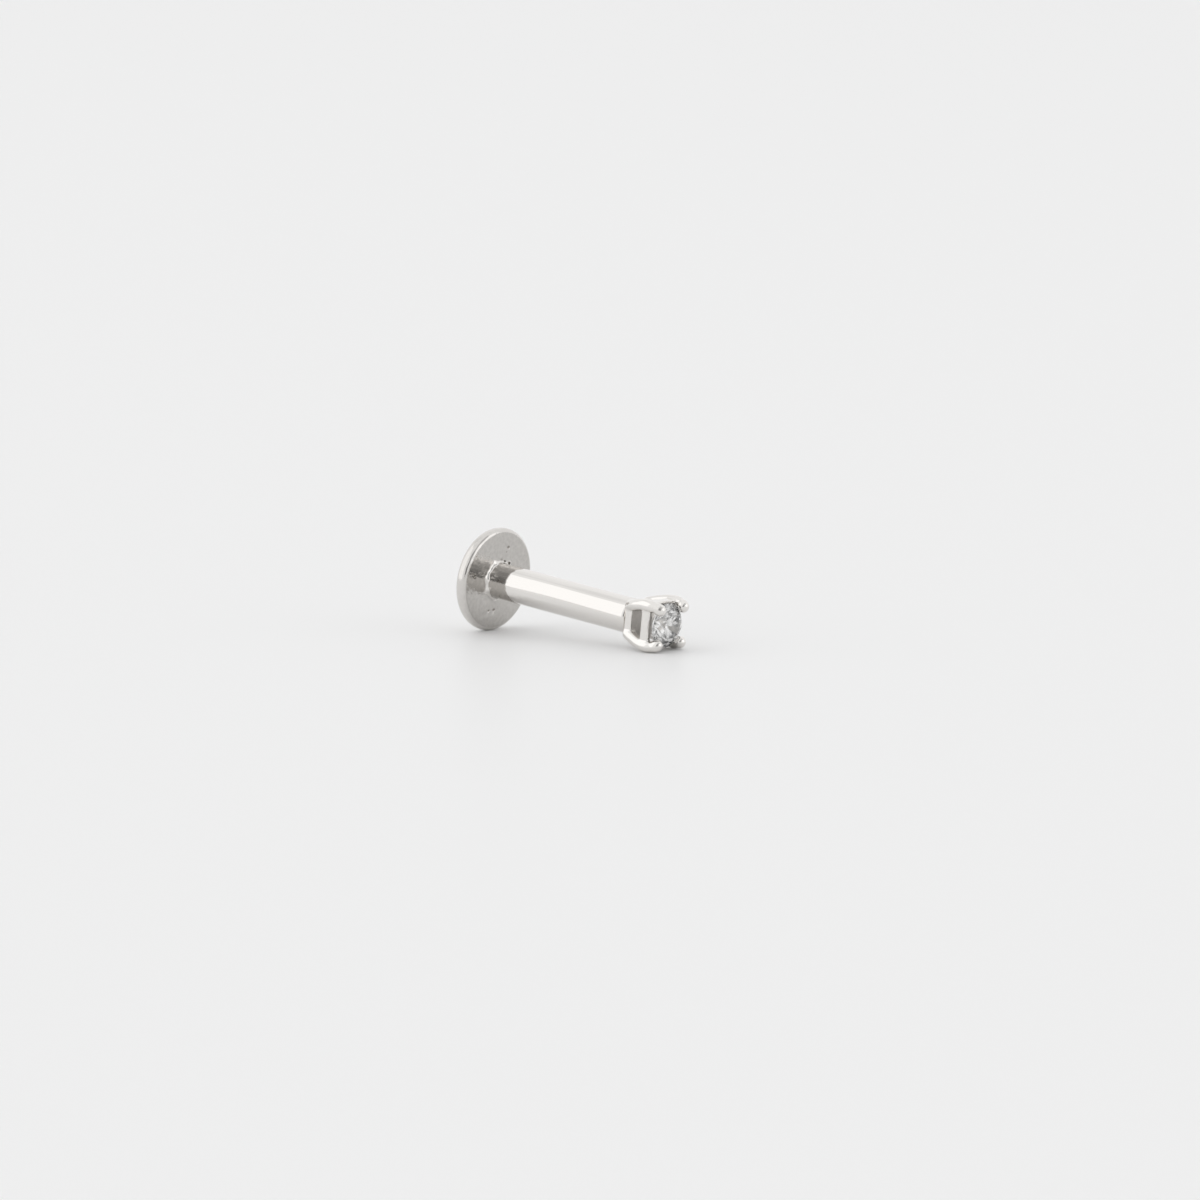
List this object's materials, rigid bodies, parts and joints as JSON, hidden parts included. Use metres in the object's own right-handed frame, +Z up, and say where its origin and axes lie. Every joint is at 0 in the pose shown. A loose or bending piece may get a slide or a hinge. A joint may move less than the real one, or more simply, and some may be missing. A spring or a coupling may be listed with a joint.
{
  "type": "flat-back helix stud earring",
  "caption": "Flat-back labret stud for the ear's helix: a round disc soldered to a straight post, with a square four-claw head that holds one round clear stone.",
  "frame": {"origin": "on the level surface that the stud lies on, under the middle of its bounding box", "axes": "+X from the disc towards the stone, level, with the post dipping 6.7 degrees below it; +Y level across the stud; +Z up"},
  "size_m": [0.0084, 0.0036, 0.0035],
  "materials": {
    "white_gold": "polished white gold, slightly warm",
    "clear_stone": "clear, brilliant cut"
  },
  "bodies": {
    "root": {"labret_post": "white_gold", "claw_head": "white_gold", "stone": "clear_stone"}
  },
  "joints": []
}
